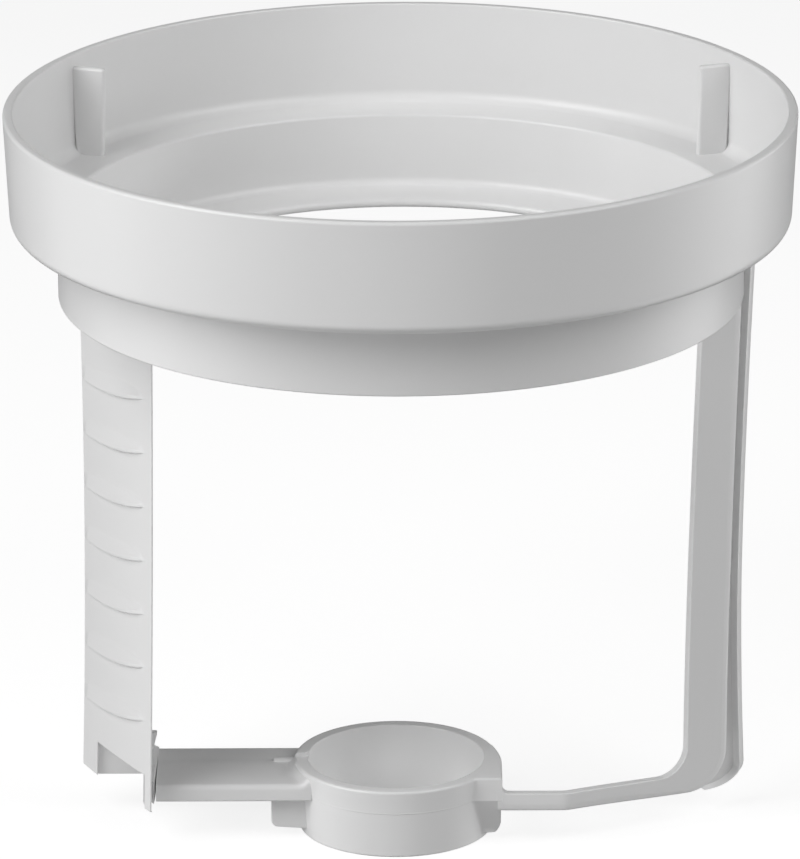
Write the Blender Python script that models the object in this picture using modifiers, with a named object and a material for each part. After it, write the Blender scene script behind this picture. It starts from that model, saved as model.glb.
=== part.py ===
"""Stepped funnel ring on two legs, with a small guide ring held between them.

Metres, +Z up. The origin is on the axis of the large ring, on the plane that the guide ring
stands on. -Y is the front, the toothed leg is at -X and the channel-shaped leg at +X.
"""

import math

import bmesh
import bpy
from mathutils import Matrix, Vector

MM = 0.001
GAP = 0.3 * MM  # clearance left at every seat
WALL = 2.5 * MM  # general wall thickness
WELD = 0.00001
HAIR = 0.05 * MM  # keeps joined faces from lying in one plane
RING_STEPS = 96
GUIDE_STEPS = 64
PLASTIC_GREY = 0.78

# Heights
RIM_TOP = 193.0 * MM
LEDGE_TOP = 166.5 * MM
LEDGE_UNDER = LEDGE_TOP - WALL
LIP_UNDER = 144.8 * MM
LIP_TOP = LIP_UNDER + WALL
GUIDE_TOP = 18.3 * MM
GUIDE_SPLIT = 12.0 * MM

# Radii of the large ring
RIM_RADIUS = 100.0 * MM
TRAY_RADIUS = RIM_RADIUS - WALL
RIM_TAPER = 1.0 * MM
THROAT_OUTER = 86.8 * MM
THROAT_INNER = 84.5 * MM
SPIGOT_OUTER = 85.9 * MM
HOLE_RADIUS = 71.0 * MM
THROAT_FILLET = 2.0 * MM
TRAY_FILLET = 3.0 * MM
EDGE_ROUND = 2.5 * MM

# Guide ring
GUIDE_X = -1.8 * MM
GUIDE_INNER = 22.7 * MM
GUIDE_OUTER_TOP = 26.2 * MM
GUIDE_OUTER_SPLIT = 25.7 * MM
GUIDE_OUTER_FOOT = 25.1 * MM
GUIDE_SPIGOT = 24.1 * MM
BOSS_RIGHT = 25.5 * MM
BOSS_FRONT = -16.5 * MM
BOSS_BACK = 6.2 * MM
BOSS_FOOT_INSET = 3.0 * MM
RIM_GROOVE_WIDTH = 5.6 * MM
RIM_GROOVE_DEPTH = 0.8 * MM
RIM_GROOVE_REACH = (-40.0 * MM, -10.0 * MM)
GUIDE_EDGE = 0.8 * MM
FOOT_EDGE = 0.6 * MM
SPIGOT_RISE = 1.6 * MM
SPIGOT_CLEARANCE = 0.2 * MM
BOSS_START = 5.0 * MM
BOSS_CHAMFER = (1.8 * MM, 7.2 * MM)
SKIRT_BOSS_FOOT = 3.0 * MM

# Stop ribs in the tray
RIB_ANGLE = math.radians(17.0)
RIB_ROOT = Vector((83.9 * MM, 50.2 * MM))
RIB_REACH = 8.0 * MM
RIB_THICK = 2.0 * MM
RIB_TOP = RIM_TOP - 4.0 * MM
RIB_TENON = 1.5 * MM
RIB_TENON_REACH = (4.2 * MM, 7.0 * MM)  # along the rib from its root
RIB_TENON_INSET = 0.5 * MM
RIB_OVERRUN = 4.0 * MM  # how far the uncut rib runs into the tray's wall

# Toothed leg: a slightly bowed panel, set across the radius
PANEL_BACK = Vector((-83.1 * MM, 15.3 * MM))
PANEL_FRONT = Vector((-64.1 * MM, -20.0 * MM))
PANEL_BULGE = 0.6 * MM
PANEL_FOOT = 11.0 * MM
PANEL_LEAN = 0.0112  # how far the panel's foot stands out to the left, for each unit of height
NOTCH_X = (-79.1 * MM, -66.3 * MM)
NOTCH_TOP = 19.8 * MM
NOTCH_DEPTH = 30.0 * MM
PANEL_END_ANGLE = math.radians(26.4)  # between the panel's face and its front end face
PANEL_TAB = (0.10, 0.38)  # where the tab at the panel's top starts and ends, across the panel
PANEL_TAB_SLACK = 0.008
TOOTH_COUNT = 7
TOOTH_FIRST = 30.1 * MM
TOOTH_PITCH = 14.45 * MM
TOOTH_REACH = 0.89
TOOTH_STEP = 1.0 * MM
TOOTH_START = 0.01
TOOTH_BURIED = 0.6 * MM
TOOTH_LOW_RISE = 4.5 * MM  # how far the lower edge climbs towards the tip
TOOTH_HIGH = 2.9 * MM  # upper edge above the lower one, at the panel's back edge
TOOTH_HIGH_RISE = 2.55 * MM
TOOTH_FADE = 0.75
TOOTH_BACK_SHARE = 0.3  # how much of its step a tooth has at the panel's back edge

# Arms
ARM_TOP = 15.6 * MM
ARM_UNDER = 11.2 * MM
ARM_HALF_WIDTH = 13.9 * MM
ARM_END = -63.6 * MM
TONGUE_FRONT = 7.7 * MM
TONGUE_RISE = (10.8 * MM, 19.4 * MM)
TONGUE_RIGHT = -67.0 * MM
CHEEK_THICK = 2.2 * MM
CHEEK_BACK = -2.0 * MM
CHEEK_TOP = 25.4 * MM
CHEEK_FRONT_SETBACK = 5.6 * MM
CHEEK_BEVEL = 4.4 * MM
CHEEK_SKEW = 0.2 * MM
CHEEK_TENON_Y = (-10.0 * MM, -5.0 * MM)
ARM_TENON_INSET = 0.8 * MM  # tenons stand this far inside the arm's faces
ARM_TENON_REACH = 2.0 * MM
ARM_RING_TENON = (6.0 * MM, 1.6 * MM)  # length of the tenon, and how far it enters the guide ring
ARM_RING_TENON_HALF = 5.0 * MM
GUSSET_END = -34.0 * MM
GUSSET_HALF_WIDTH = 10.0 * MM
GUSSET_UNDER = 2.6 * MM
GUSSET_TENON_X = (1.2 * MM, 3.6 * MM)
GUSSET_TENON_HALF = 6.0 * MM
GUSSET_TENON_RISE = 1.8 * MM
STRAP_TOP = 14.2 * MM
STRAP_UNDER = 9.4 * MM
STRAP_THICK = 2.3 * MM
STRAP_TENON_REACH = (2.4 * MM, 1.0 * MM)  # into the boss, and back into the strap
STRAP_TENON_FRONT = 1.1 * MM
STRAP_TENON_INSET = 0.6 * MM

# Channel leg: an L-shaped outline in a plane turned away from the front
BEND = Vector((42.25 * MM, BOSS_FRONT))
BEND_ANGLE = math.radians(25.0)
LEG_INNER = 34.4 * MM
LEG_OUTER = 45.8 * MM
LEG_LEAN = 3.0 * MM
INNER_CORNER = 7.5 * MM
OUTER_CORNER = 11.0 * MM
LAP_START = 16.0 * MM
LAP_LENGTH = 6.0 * MM
LAP_THICK = 1.0 * MM
BACK_OFFSET = 8.2 * MM
BACK_OUTER = 54.4 * MM
BACK_LEAN = 2.8 * MM
BACK_UNDER = 4.4 * MM
BACK_CORNER = 6.0 * MM
WEB_AT = 40.5 * MM
WEB_THICK = 2.0 * MM
WEB_FOOT = 14.0 * MM
WEB_BURIED = 0.5 * MM
CHANNEL_TAB_INSET = 2.5 * MM
CHANNEL_TAB_LENGTH = 6.0 * MM


def new_collection(name, hidden=False):
    group = bpy.data.collections.new(name)
    group.hide_render = hidden
    bpy.context.scene.collection.children.link(group)
    return group


def clear_scene():
    for obj in list(bpy.data.objects):
        bpy.data.objects.remove(obj, do_unlink=True)


def plastic(name, grey, roughness):
    """Moulded plastic in a neutral grey-white."""
    made = bpy.data.materials.new(name)
    made.use_nodes = True
    shader = made.node_tree.nodes["Principled BSDF"]
    shader.inputs["Base Color"].default_value = (grey, grey, grey, 1.0)
    shader.inputs["Roughness"].default_value = roughness
    shader.inputs["Metallic"].default_value = 0.0
    return made


def as_part(obj, grey, roughness=0.3):
    """Puts a finished solid among the parts, with a material of its own."""
    for group in list(obj.users_collection):
        group.objects.unlink(obj)
    PARTS.objects.link(obj)
    obj.data.materials.clear()
    obj.data.materials.append(plastic(obj.name + "_plastic", grey, roughness))
    obj.hide_render = False
    obj.display_type = "TEXTURED"
    return obj


def helper(obj):
    """Puts a solid among the cutters."""
    CUTTERS.objects.link(obj)
    obj.hide_render = True
    obj.display_type = "WIRE"
    return obj


def boolean(body, tool, operation):
    step = body.modifiers.new(tool.name, "BOOLEAN")
    step.operation = operation
    step.solver = "EXACT"
    step.object = tool


def arc(centre, radius, start, end, count):
    """Points of a rounding, from one angle to another in degrees."""
    points = []
    for index in range(count + 1):
        angle = math.radians(start + (end - start) * index / count)
        points.append((centre[0] + radius * math.cos(angle), centre[1] + radius * math.sin(angle)))
    return points


def turned(name, profile, steps, centre_x=0.0):
    """A ring whose closed (radius, height) profile runs down its outer side first."""
    mesh = bpy.data.meshes.new(name)
    count = len(profile)
    edges = [(index, (index + 1) % count) for index in range(count)]
    mesh.from_pydata([(radius, 0.0, height) for radius, height in profile], edges, [])
    obj = helper(bpy.data.objects.new(name, mesh))
    obj.location.x = centre_x
    screw = obj.modifiers.new("turn", "SCREW")
    screw.steps = steps
    screw.render_steps = steps
    screw.use_merge_vertices = True
    screw.merge_threshold = WELD
    screw.use_smooth_shade = True
    return obj


def extruded(name, outline, thickness, placement):
    """A flat outline, thickened half each way along its own Z axis, as a welded mesh."""
    curve = bpy.data.curves.new(name + "_outline", "CURVE")
    curve.dimensions = "2D"
    curve.fill_mode = "BOTH"
    curve.extrude = thickness / 2
    spline = curve.splines.new("POLY")
    spline.points.add(len(outline) - 1)
    for point, (across, along) in zip(spline.points, outline):
        point.co = (across, along, 0.0, 1.0)
    spline.use_cyclic_u = True
    guide = bpy.data.objects.new(name + "_outline", curve)
    bpy.context.scene.collection.objects.link(guide)
    guide.matrix_world = placement
    bpy.context.view_layer.update()
    graph = bpy.context.evaluated_depsgraph_get()
    mesh = bpy.data.meshes.new_from_object(guide.evaluated_get(graph))
    shape = bmesh.new()
    shape.from_mesh(mesh)
    bmesh.ops.remove_doubles(shape, verts=shape.verts, dist=WELD)
    bmesh.ops.recalc_face_normals(shape, faces=shape.faces)
    shape.to_mesh(mesh)
    shape.free()
    obj = helper(bpy.data.objects.new(name, mesh))
    obj.matrix_world = placement
    bpy.data.objects.remove(guide, do_unlink=True)
    return obj


def standing(name, outline, low, high):
    """An outline drawn in plan and extruded from one height to another."""
    return extruded(name, outline, high - low, Matrix.Translation((0.0, 0.0, (low + high) / 2)))


def block(name, low, high):
    """A box between two corners."""
    middle = [(a + b) / 2 for a, b in zip(low, high)]
    shape = bmesh.new()
    bmesh.ops.create_cube(shape, size=1.0)
    bmesh.ops.scale(shape, vec=[b - a for a, b in zip(low, high)], verts=shape.verts)
    mesh = bpy.data.meshes.new(name)
    shape.to_mesh(mesh)
    shape.free()
    obj = helper(bpy.data.objects.new(name, mesh))
    obj.location = middle
    return obj


def rod(name, radius, low, high, steps, centre_x=0.0):
    """An upright cylinder."""
    shape = bmesh.new()
    bmesh.ops.create_cone(
        shape, cap_ends=True, segments=steps, radius1=radius, radius2=radius, depth=high - low
    )
    mesh = bpy.data.meshes.new(name)
    shape.to_mesh(mesh)
    shape.free()
    obj = helper(bpy.data.objects.new(name, mesh))
    obj.location = (centre_x, 0.0, (low + high) / 2)
    return obj


def rim_ring():
    """The tall outer ring with its rounded rim and the ledge turned in at its foot."""
    half = WALL / 2
    foot_radius = RIM_RADIUS - RIM_TAPER
    profile = arc((RIM_RADIUS - half, RIM_TOP - half), half, 90, 0, 4)
    profile += arc((foot_radius - EDGE_ROUND, LEDGE_UNDER + EDGE_ROUND), EDGE_ROUND, 0, -90, 3)
    profile += [(SPIGOT_OUTER + GAP, LEDGE_UNDER), (SPIGOT_OUTER + GAP, LEDGE_TOP)]
    profile += arc((TRAY_RADIUS - TRAY_FILLET, LEDGE_TOP + TRAY_FILLET), TRAY_FILLET, -90, 0, 3)
    profile += arc((RIM_RADIUS - half, RIM_TOP - half), half, 180, 120, 2)
    return turned("rim_ring", profile, RING_STEPS)


def throat_ring():
    """The narrower ring under the ledge: a spigot above, a wall, and a lip round the hole."""
    shoulder = LEDGE_UNDER - GAP
    round_centre = (THROAT_OUTER - EDGE_ROUND, LIP_UNDER + EDGE_ROUND)
    profile = [(SPIGOT_OUTER, LEDGE_TOP), (SPIGOT_OUTER, shoulder), (THROAT_OUTER, shoulder)]
    profile += arc(round_centre, EDGE_ROUND, 0, -90, 3)
    profile += arc((HOLE_RADIUS + WALL / 2, LIP_UNDER + WALL / 2), WALL / 2, 270, 90, 3)
    fillet_centre = (THROAT_INNER - THROAT_FILLET, LIP_TOP + THROAT_FILLET)
    profile += arc(fillet_centre, THROAT_FILLET, -90, 0, 2)
    profile += [(THROAT_INNER, LEDGE_TOP)]
    return turned("throat_ring", profile, RING_STEPS)


def rib_axes(side):
    """Root point, inward direction and backward direction of a rib; side is -1 left, +1 right."""
    inward = Vector((-side * math.cos(RIB_ANGLE), -math.sin(RIB_ANGLE)))
    backward = Vector((-side * math.sin(RIB_ANGLE), math.cos(RIB_ANGLE)))
    return Vector((side * RIB_ROOT.x, RIB_ROOT.y)), inward, backward


def rib_outline(side, start, end, front, back):
    root, inward, backward = rib_axes(side)
    corners = ((start, front), (end, front), (end, back), (start, back))
    return [tuple(root + inward * along + backward * deep) for along, deep in corners]


def stop_rib(name, side, tray, ring):
    """An upright stop on the tray wall, with a foot tenon in the ledge."""
    plan = rib_outline(side, -RIB_OVERRUN, RIB_REACH, 0.0, RIB_THICK)
    rib = standing(name, plan, LEDGE_TOP - MM, RIB_TOP)
    boolean(rib, tray, "INTERSECT")
    start, end = RIB_TENON_REACH
    front, back = RIB_TENON_INSET, RIB_THICK - RIB_TENON_INSET
    foot = rib_outline(side, start, end, front, back)
    tenon = standing(name + "_tenon", foot, LEDGE_TOP - RIB_TENON, LEDGE_TOP + TRAY_FILLET)
    boolean(rib, tenon, "UNION")
    hole = rib_outline(side, start - GAP, end + GAP, front - GAP, back + GAP)
    low = LEDGE_TOP - RIB_TENON - GAP
    boolean(ring, standing(name + "_pocket", hole, low, LEDGE_TOP + WALL), "DIFFERENCE")
    return rib


def tray_space():
    """The clear space inside the tray, a gap away from its wall, fillet and floor."""
    radius = TRAY_RADIUS - GAP
    floor = LEDGE_TOP + GAP
    profile = [(0.0, RIM_TOP + WALL), (radius, RIM_TOP + WALL)]
    profile += arc((radius - TRAY_FILLET, floor + TRAY_FILLET), TRAY_FILLET, 0, -90, 3)
    profile += [(0.0, floor)]
    return turned("tray_space", profile, RING_STEPS)


def panel_circle():
    """Centre, radius and end angles of the toothed panel's bowed outer face, in plan."""
    chord = PANEL_FRONT - PANEL_BACK
    radius = chord.length_squared / (8 * PANEL_BULGE) + PANEL_BULGE / 2
    normal = Vector((chord.y, -chord.x)).normalized()
    centre = (PANEL_FRONT + PANEL_BACK) / 2 - normal * (radius - PANEL_BULGE)
    start = PANEL_BACK - centre
    end = PANEL_FRONT - centre
    return centre, radius, math.atan2(start.y, start.x) % math.tau, math.atan2(end.y, end.x) % math.tau


def panel_point(across, proud=0.0):
    """Plan point on the panel: across is 0 at its back edge and 1 at its front edge."""
    centre, radius, start, end = panel_circle()
    angle = start + (end - start) * across
    return centre + Vector((math.cos(angle), math.sin(angle))) * (radius + proud)


def panel_outline(start, end, outer=0.0, inner=-WALL, inner_end=None, count=6):
    """Plan section of a stretch of the panel; inner_end ends its inner face short."""
    stop = end if inner_end is None else inner_end
    front = [panel_point(start + (end - start) * index / count, outer) for index in range(count + 1)]
    back = [panel_point(start + (stop - start) * index / count, inner) for index in range(count + 1)]
    return [tuple(point) for point in front + back[::-1]]


def tooth_heights(across):
    """Lower and upper edge of a tooth above its own foot, as it runs to the front edge."""
    low = TOOTH_LOW_RISE * across**2.2
    high = TOOTH_HIGH + TOOTH_HIGH_RISE * (1 - (1 - across) ** 2.5)
    return low, high


def tooth(index):
    """One ramp tooth: flush at its upper edge, stepped at its lower edge."""
    sections = 8
    foot = TOOTH_FIRST + TOOTH_PITCH * index
    shape = bmesh.new()
    rows = []
    for step in range(sections + 1):
        across = step / sections
        low, high = tooth_heights(across)
        growth = TOOTH_BACK_SHARE + (1 - TOOTH_BACK_SHARE) * across**0.7
        proud = TOOTH_STEP * growth * (1 - TOOTH_FADE * across**6)
        at = TOOTH_START + (TOOTH_REACH - TOOTH_START) * across
        slope = (high - low) / proud
        lines = ((-TOOTH_BURIED, low), (proud, low), (-TOOTH_BURIED, high + TOOTH_BURIED * slope))
        row = []
        for depth, height in lines:
            plan = panel_point(at, depth)
            row.append(shape.verts.new((plan.x, plan.y, foot + height)))
        rows.append(row)
    for near, far in zip(rows, rows[1:]):
        for corner in range(3):
            other = (corner + 1) % 3
            shape.faces.new((near[corner], near[other], far[other], far[corner]))
    shape.faces.new(rows[0][::-1])
    shape.faces.new(rows[-1])
    bmesh.ops.triangulate(shape, faces=shape.faces)
    bmesh.ops.recalc_face_normals(shape, faces=shape.faces)
    mesh = bpy.data.meshes.new("tooth")
    shape.to_mesh(mesh)
    shape.free()
    return helper(bpy.data.objects.new(f"tooth_{index + 1}", mesh))


def leaning(obj):
    """Shears a piece of the toothed leg sideways, about the leg's foot."""
    for vertex in obj.data.vertices:
        height = (obj.matrix_world @ vertex.co).z
        vertex.co.x += PANEL_LEAN * (height - PANEL_FOOT)
    return obj


def toothed_leg(throat):
    """The wide leg: a bowed panel with ramp teeth, a notch at its foot and a tab at its top."""
    inner_stop = 1 - WALL / math.tan(PANEL_END_ANGLE) / (PANEL_FRONT - PANEL_BACK).length
    plan = panel_outline(0.0, 1.0, inner_end=inner_stop)
    leg = leaning(standing("toothed_leg", plan, PANEL_FOOT, LIP_UNDER - GAP))
    start, end = PANEL_TAB
    tab = leaning(standing("leg_tab", panel_outline(start, end), LIP_UNDER - WALL, LIP_TOP))
    boolean(leg, tab, "UNION")
    slot_plan = panel_outline(start - PANEL_TAB_SLACK, end + PANEL_TAB_SLACK, GAP, -WALL - GAP)
    slot = leaning(standing("leg_slot", slot_plan, LIP_UNDER - WALL, LIP_TOP + WALL))
    boolean(throat, slot, "DIFFERENCE")
    for index in range(TOOTH_COUNT):
        boolean(leg, leaning(tooth(index)), "UNION")
    low = (NOTCH_X[0], -NOTCH_DEPTH, 0.0)
    high = (NOTCH_X[1], NOTCH_DEPTH, NOTCH_TOP)
    boolean(leg, block("leg_notch", low, high), "DIFFERENCE")
    return leg


def leg_cheek():
    """The short plate behind the toothed leg's front edge, which carries the wide arm."""
    right = PANEL_FRONT.x + CHEEK_SKEW
    left = right - CHEEK_THICK
    front = PANEL_FRONT.y + CHEEK_FRONT_SETBACK
    plan = [(right, front), (right + CHEEK_SKEW, CHEEK_BACK), (left, CHEEK_BACK), (left, front + CHEEK_BEVEL)]
    cheek = standing("leg_cheek", plan, PANEL_FOOT, CHEEK_TOP)
    start, end = CHEEK_TENON_Y
    low = (left - MM, start - GAP, ARM_UNDER + ARM_TENON_INSET - GAP)
    high = (right + MM, end + GAP, ARM_TOP - ARM_TENON_INSET + GAP)
    boolean(cheek, block("cheek_mortise", low, high), "DIFFERENCE")
    return cheek


def wide_arm(guide):
    """The flat arm from the guide ring to the toothed leg, with a tongue that fills the leg's notch."""
    cheek_left = PANEL_FRONT.x + CHEEK_SKEW - CHEEK_THICK - GAP
    plan = [
        (0.0, -ARM_HALF_WIDTH),
        (ARM_END, -ARM_HALF_WIDTH),
        (ARM_END, CHEEK_BACK + GAP),
        (cheek_left, CHEEK_BACK + GAP),
        (cheek_left, TONGUE_FRONT),
        (TONGUE_RIGHT - MM, TONGUE_FRONT + MM),
        (TONGUE_RIGHT - MM, ARM_HALF_WIDTH),
        (0.0, ARM_HALF_WIDTH),
    ]
    arm = standing("wide_arm", plan, ARM_UNDER, ARM_TOP)
    low = (NOTCH_X[0] + GAP, TONGUE_FRONT, TONGUE_RISE[0])
    high = (TONGUE_RIGHT, ARM_HALF_WIDTH + HAIR, TONGUE_RISE[1])
    boolean(arm, block("arm_tongue", low, high), "UNION")
    clear = rod("arm_clearance", GUIDE_OUTER_TOP + GAP, 0.0, RIM_TOP, GUIDE_STEPS, GUIDE_X)
    boolean(arm, clear, "DIFFERENCE")
    start, end = CHEEK_TENON_Y
    low = (cheek_left + GAP, start, ARM_UNDER + ARM_TENON_INSET)
    high = (ARM_END + ARM_TENON_REACH, end, ARM_TOP - ARM_TENON_INSET)
    boolean(arm, block("arm_cheek_tenon", low, high), "UNION")
    length, entry = ARM_RING_TENON
    ring_side = GUIDE_X - GUIDE_OUTER_TOP + entry
    low = Vector((ring_side - length, -ARM_RING_TENON_HALF, GUIDE_SPLIT + ARM_TENON_INSET))
    high = Vector((ring_side, ARM_RING_TENON_HALF, ARM_TOP - ARM_TENON_INSET))
    boolean(arm, block("arm_ring_tenon", low, high), "UNION")
    grow = Vector((GAP, GAP, GAP))
    boolean(guide, block("guide_mortise", low - grow, high + grow), "DIFFERENCE")
    return arm


def arm_gusset(arm):
    """The block under the wide arm, against the guide ring's wall."""
    low = (GUSSET_END, -GUSSET_HALF_WIDTH, GUSSET_UNDER)
    high = (GUIDE_X - GUSSET_HALF_WIDTH, GUSSET_HALF_WIDTH, ARM_UNDER - GAP)
    gusset = block("arm_gusset", low, high)
    clear = rod("gusset_clearance", GUIDE_OUTER_SPLIT + GAP, 0.0, RIM_TOP, GUIDE_STEPS, GUIDE_X)
    boolean(gusset, clear, "DIFFERENCE")
    start, end = GUSSET_TENON_X
    low = Vector((GUSSET_END + start, -GUSSET_TENON_HALF, ARM_UNDER - MM))
    high = Vector((GUSSET_END + end, GUSSET_TENON_HALF, ARM_UNDER + GUSSET_TENON_RISE))
    boolean(gusset, block("gusset_tenon", low, high), "UNION")
    grow = Vector((GAP, GAP, GAP))
    boolean(arm, block("gusset_mortise", low - grow, high + grow), "DIFFERENCE")
    return gusset


def boss(name, low, high, ring_wall, inset_foot=0.0):
    """The square corner that the thin arm leaves the guide ring from, grown out of its wall."""
    right = BOSS_RIGHT - inset_foot
    front = BOSS_FRONT + inset_foot
    chamfer_across, chamfer_deep = BOSS_CHAMFER
    plan = [
        (BOSS_START, front),
        (right, front),
        (right, BOSS_BACK - chamfer_deep),
        (right - chamfer_across, BOSS_BACK),
        (BOSS_START, BOSS_BACK),
    ]
    corner = standing(name, plan, low, high)
    core = rod(name + "_core", ring_wall, -WALL, RIM_TOP, GUIDE_STEPS, GUIDE_X)
    boolean(corner, core, "DIFFERENCE")
    return corner


def guide_ring():
    """The upper half of the guide ring, with its boss, rim groove and locating socket."""
    low = GUIDE_SPLIT
    socket_top = low + SPIGOT_RISE + SPIGOT_CLEARANCE
    edge_height = GUIDE_TOP - GUIDE_EDGE
    profile = arc((GUIDE_OUTER_TOP - GUIDE_EDGE, edge_height), GUIDE_EDGE, 90, 0, 3)
    profile += [(GUIDE_OUTER_SPLIT, low), (GUIDE_SPIGOT + GAP, low)]
    profile += [(GUIDE_SPIGOT + GAP, socket_top), (GUIDE_INNER, socket_top)]
    profile += arc((GUIDE_INNER + GUIDE_EDGE, edge_height), GUIDE_EDGE, 180, 90, 3)
    ring = turned("guide_ring", profile, GUIDE_STEPS, GUIDE_X)
    buried = (GUIDE_SPIGOT + GAP + GUIDE_OUTER_SPLIT) / 2
    boolean(ring, boss("guide_boss", low + HAIR, GUIDE_TOP - HAIR, buried), "UNION")
    half = RIM_GROOVE_WIDTH / 2
    far, near = RIM_GROOVE_REACH
    corner = (GUIDE_X + far, -half, GUIDE_TOP - RIM_GROOVE_DEPTH)
    groove = block("rim_groove", corner, (GUIDE_X + near, half, RIM_TOP))
    boolean(ring, groove, "DIFFERENCE")
    return ring


def guide_skirt():
    """The lower half of the guide ring, which the object stands on."""
    high = GUIDE_SPLIT - GAP
    spigot_top = high + SPIGOT_RISE
    profile = [(GUIDE_SPIGOT, spigot_top), (GUIDE_SPIGOT, high), (GUIDE_OUTER_SPLIT, high)]
    profile += arc((GUIDE_OUTER_FOOT - FOOT_EDGE, FOOT_EDGE), FOOT_EDGE, 0, -90, 2)
    profile += [(GUIDE_INNER, 0.0), (GUIDE_INNER, spigot_top)]
    skirt = turned("guide_skirt", profile, GUIDE_STEPS, GUIDE_X)
    buried = (GUIDE_INNER + GUIDE_SPIGOT) / 2
    corner = boss("skirt_boss", SKIRT_BOSS_FOOT, high - HAIR, buried, BOSS_FOOT_INSET)
    boolean(skirt, corner, "UNION")
    return skirt


def strap_point(along, deep):
    """Plan point in the leg's plane: along from the bend, deep behind the front face."""
    out = Vector((math.cos(BEND_ANGLE), math.sin(BEND_ANGLE)))
    back = Vector((-math.sin(BEND_ANGLE), math.cos(BEND_ANGLE)))
    return BEND + out * along + back * deep


def thin_arm(guide):
    """The thin strap from the guide ring's boss, bent back towards the channel leg."""
    lap = LAP_START + LAP_LENGTH
    inner_bend = STRAP_THICK * math.tan(BEND_ANGLE / 2)
    plan = [
        (BOSS_RIGHT + GAP, BOSS_FRONT),
        tuple(BEND),
        tuple(strap_point(LAP_START, 0.0)),
        tuple(strap_point(LAP_START, STRAP_THICK - LAP_THICK)),
        tuple(strap_point(lap, STRAP_THICK - LAP_THICK)),
        tuple(strap_point(lap, STRAP_THICK)),
        (BEND.x - inner_bend, BOSS_FRONT + STRAP_THICK),
        (BOSS_RIGHT + GAP, BOSS_FRONT + STRAP_THICK),
    ]
    arm = standing("thin_arm", plan, STRAP_UNDER, STRAP_TOP)
    entry, hold = STRAP_TENON_REACH
    front = BOSS_FRONT + STRAP_TENON_FRONT
    low = Vector((BOSS_RIGHT - entry, front, GUIDE_SPLIT + ARM_TENON_INSET))
    high = Vector((BOSS_RIGHT + hold, BOSS_FRONT + STRAP_THICK, STRAP_TOP - STRAP_TENON_INSET))
    boolean(arm, block("strap_tenon", low, high), "UNION")
    grow = Vector((GAP, GAP, GAP))
    boolean(guide, block("boss_mortise", low - grow, high + grow), "DIFFERENCE")
    return arm


def leg_plane(deep):
    """Placement whose X runs out along the leg's plane, Y runs up and Z runs to the front."""
    origin = strap_point(0.0, deep)
    out = (math.cos(BEND_ANGLE), math.sin(BEND_ANGLE), 0.0)
    front = (math.sin(BEND_ANGLE), -math.cos(BEND_ANGLE), 0.0)
    axes = Matrix((out, (0.0, 0.0, 1.0), front)).transposed().to_4x4()
    return Matrix.Translation((origin.x, origin.y, 0.0)) @ axes


def front_outline(top, start):
    """L-shaped outline in the leg's plane, from the strap's end up to the ring."""
    outline = [(start, STRAP_TOP), (start, STRAP_UNDER)]
    outline += arc((LEG_OUTER - OUTER_CORNER, STRAP_UNDER + OUTER_CORNER), OUTER_CORNER, -90, 0, 6)
    outline += [(LEG_OUTER + LEG_LEAN, top), (LEG_INNER + LEG_LEAN, top)]
    outline += arc((LEG_INNER - INNER_CORNER, STRAP_TOP + INNER_CORNER), INNER_CORNER, 0, -90, 5)
    return outline


def back_outline(top):
    """Outline of the back flange, which stands out further and passes outside the throat ring."""
    outline = [(WEB_AT, BACK_UNDER)]
    outline += arc((BACK_OUTER - BACK_CORNER, BACK_UNDER + BACK_CORNER), BACK_CORNER, -90, 0, 5)
    outline += [(BACK_OUTER + BACK_LEAN, top), (WEB_AT, top)]
    return outline


def channel_leg(throat):
    """The narrow leg: two flanges joined by a web, open outwards, with a tab at its top."""
    top = LIP_UNDER - GAP
    outline = front_outline(top, LAP_START + GAP)
    leg = extruded("channel_leg", outline, STRAP_THICK, leg_plane(STRAP_THICK / 2))
    back_place = leg_plane(BACK_OFFSET + STRAP_THICK / 2)
    back = extruded("back_flange", back_outline(LEDGE_UNDER - GAP), STRAP_THICK, back_place)
    boolean(leg, back, "UNION")
    web_outline = [(WEB_AT, WEB_FOOT), (WEB_AT + WEB_THICK, WEB_FOOT)]
    web_outline += [(WEB_AT + WEB_THICK + LEG_LEAN, top), (WEB_AT + LEG_LEAN, top)]
    web_depth = BACK_OFFSET - STRAP_THICK + 2 * WEB_BURIED
    web = extruded("leg_web", web_outline, web_depth, leg_plane((BACK_OFFSET + STRAP_THICK) / 2))
    boolean(leg, web, "UNION")
    clear = rod("ring_clearance", THROAT_OUTER + GAP, top, RIM_TOP, RING_STEPS)
    boolean(leg, clear, "DIFFERENCE")
    lap_deep = (LAP_THICK + STRAP_THICK + MM) / 2
    lap_end = LAP_START + LAP_LENGTH + GAP
    lap_outline = [(0.0, 0.0), (lap_end, 0.0), (lap_end, STRAP_TOP + MM), (0.0, STRAP_TOP + MM)]
    lap = extruded("lap_cut", lap_outline, STRAP_THICK + MM - LAP_THICK, leg_plane(lap_deep))
    boolean(leg, lap, "DIFFERENCE")
    tab_start = LEG_INNER + LEG_LEAN + CHANNEL_TAB_INSET
    tab_end = tab_start + CHANNEL_TAB_LENGTH
    tab_outline = [(tab_start, top - WALL), (tab_end, top - WALL), (tab_end, LIP_TOP), (tab_start, LIP_TOP)]
    tab = extruded("channel_tab", tab_outline, STRAP_THICK, leg_plane(STRAP_THICK / 2))
    boolean(leg, tab, "UNION")
    slot_low = LIP_UNDER - WALL
    slot_high = LIP_TOP + WALL
    slot_outline = [(tab_start - GAP, slot_low), (tab_end + GAP, slot_low)]
    slot_outline += [(tab_end + GAP, slot_high), (tab_start - GAP, slot_high)]
    slot = extruded("channel_slot", slot_outline, STRAP_THICK + 2 * GAP, leg_plane(STRAP_THICK / 2))
    boolean(throat, slot, "DIFFERENCE")
    return leg


clear_scene()
PARTS = new_collection("canning_funnel")
CUTTERS = new_collection("cutters", hidden=True)

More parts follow.
